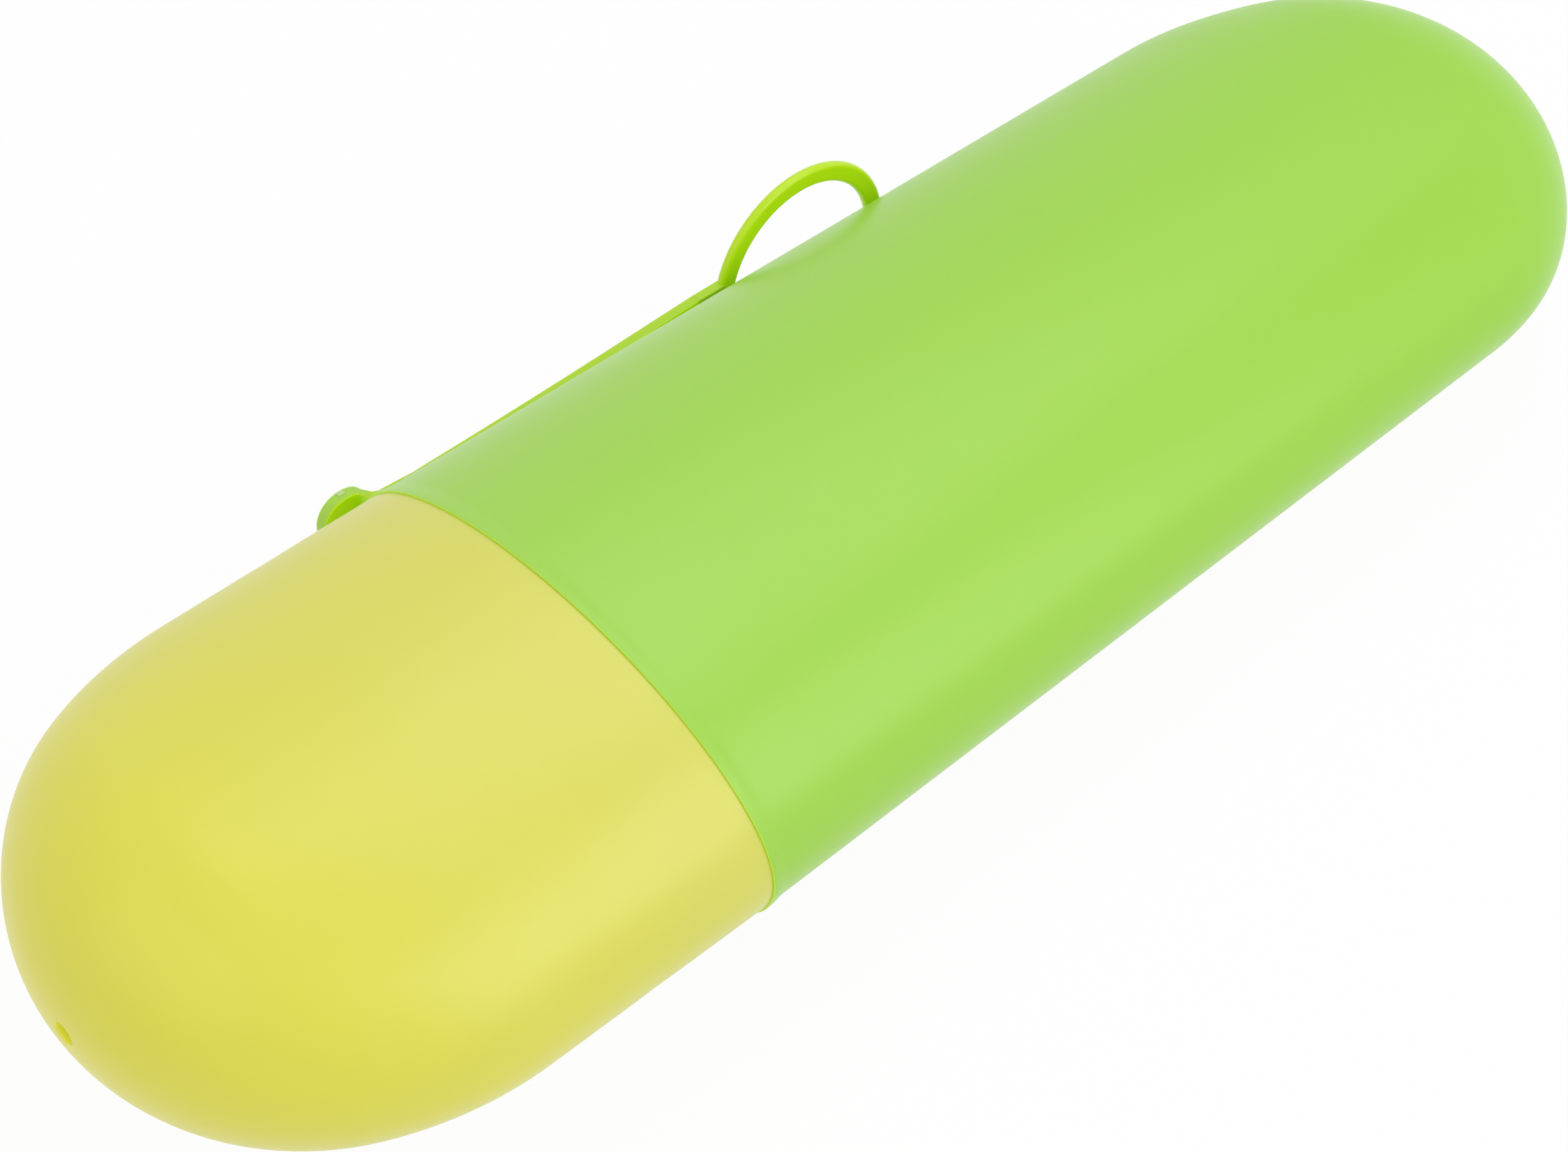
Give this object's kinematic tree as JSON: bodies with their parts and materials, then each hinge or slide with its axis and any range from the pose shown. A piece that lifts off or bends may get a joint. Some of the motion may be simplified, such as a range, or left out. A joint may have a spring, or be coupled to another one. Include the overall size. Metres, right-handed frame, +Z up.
{
  "type": "toothbrush case",
  "caption": "Flattened capsule case for a travel toothbrush: a pull-off cap on a long body, with a flexible strap, finger ring and pull tab on its side.",
  "frame": {"origin": "under the middle of the closed case, at the level of the surface that it lies on", "axes": "+X along the case from the cap's tip to the body's tip, +Y towards the side with the strap, +Z up through the case's thickness"},
  "size_m": [0.21, 0.0702, 0.0358],
  "materials": {
    "body_plastic": "satin",
    "cap_plastic": "satin",
    "strap_rubber": "satin"
  },
  "bodies": {
    "body": {"body_shell": "body_plastic", "strap_anchor": "strap_rubber"},
    "cap": {"cap_shell": "cap_plastic"},
    "arm": {"strap_arm": "strap_rubber"},
    "ring": {"hang_ring": "strap_rubber"}
  },
  "joints": [
    {"name": "cap_slide", "type": "slide", "parent": "body", "child": "cap", "axis": [-1, 0, 0], "range_m": [0, 0.08]},
    {"name": "strap_lift", "type": "hinge", "parent": "body", "child": "arm", "pos_m": [-0.0074, 0.03245, 0.0179], "axis": [0, 0, -1], "range_deg": [0, 60], "stiffness_Nm_per_rad": 0.003},
    {"name": "ring_swing", "type": "hinge", "parent": "body", "child": "ring", "pos_m": [0.0036, 0.03245, 0.0179], "axis": [0, 0, 1], "range_deg": [0, 90], "stiffness_Nm_per_rad": 0.003}
  ]
}
